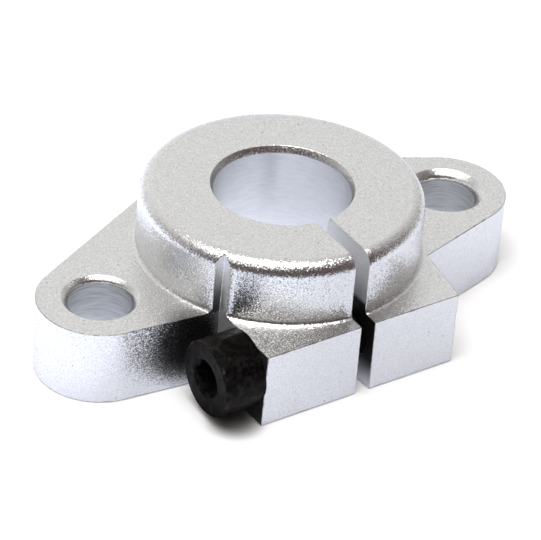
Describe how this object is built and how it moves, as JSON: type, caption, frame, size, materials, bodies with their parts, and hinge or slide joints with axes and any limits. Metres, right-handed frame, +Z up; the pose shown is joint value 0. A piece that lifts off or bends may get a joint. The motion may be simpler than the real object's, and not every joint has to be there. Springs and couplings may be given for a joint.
{
  "type": "shaft support block",
  "caption": "Flanged aluminium block that clamps round the end of a round shaft with a cross screw through its slit lugs, and bolts flat to a plate.",
  "frame": {"origin": "where the axis of the shaft bore meets the base face", "axes": "+Z up the shaft axis, away from the plate it bolts to; +X along the line of the two mounting holes; the slit and its lugs point to -Y, and the screw head is on the -X side"},
  "size_m": [0.047, 0.0277, 0.013],
  "materials": {
    "block": "blasted aluminium casting with a machined bore, seat and holes",
    "clamp_screw": "black oxide on alloy steel"
  },
  "bodies": {
    "block": {"block": "block"},
    "clamp_screw": {"clamp_screw": "clamp_screw"}
  },
  "joints": [
    {"name": "clamp_screw_turn", "type": "hinge", "parent": "block", "child": "clamp_screw", "pos_m": [-0.0101, -0.0107, 0.004], "axis": [1, 0, 0], "range_deg": [-270, 0]}
  ]
}
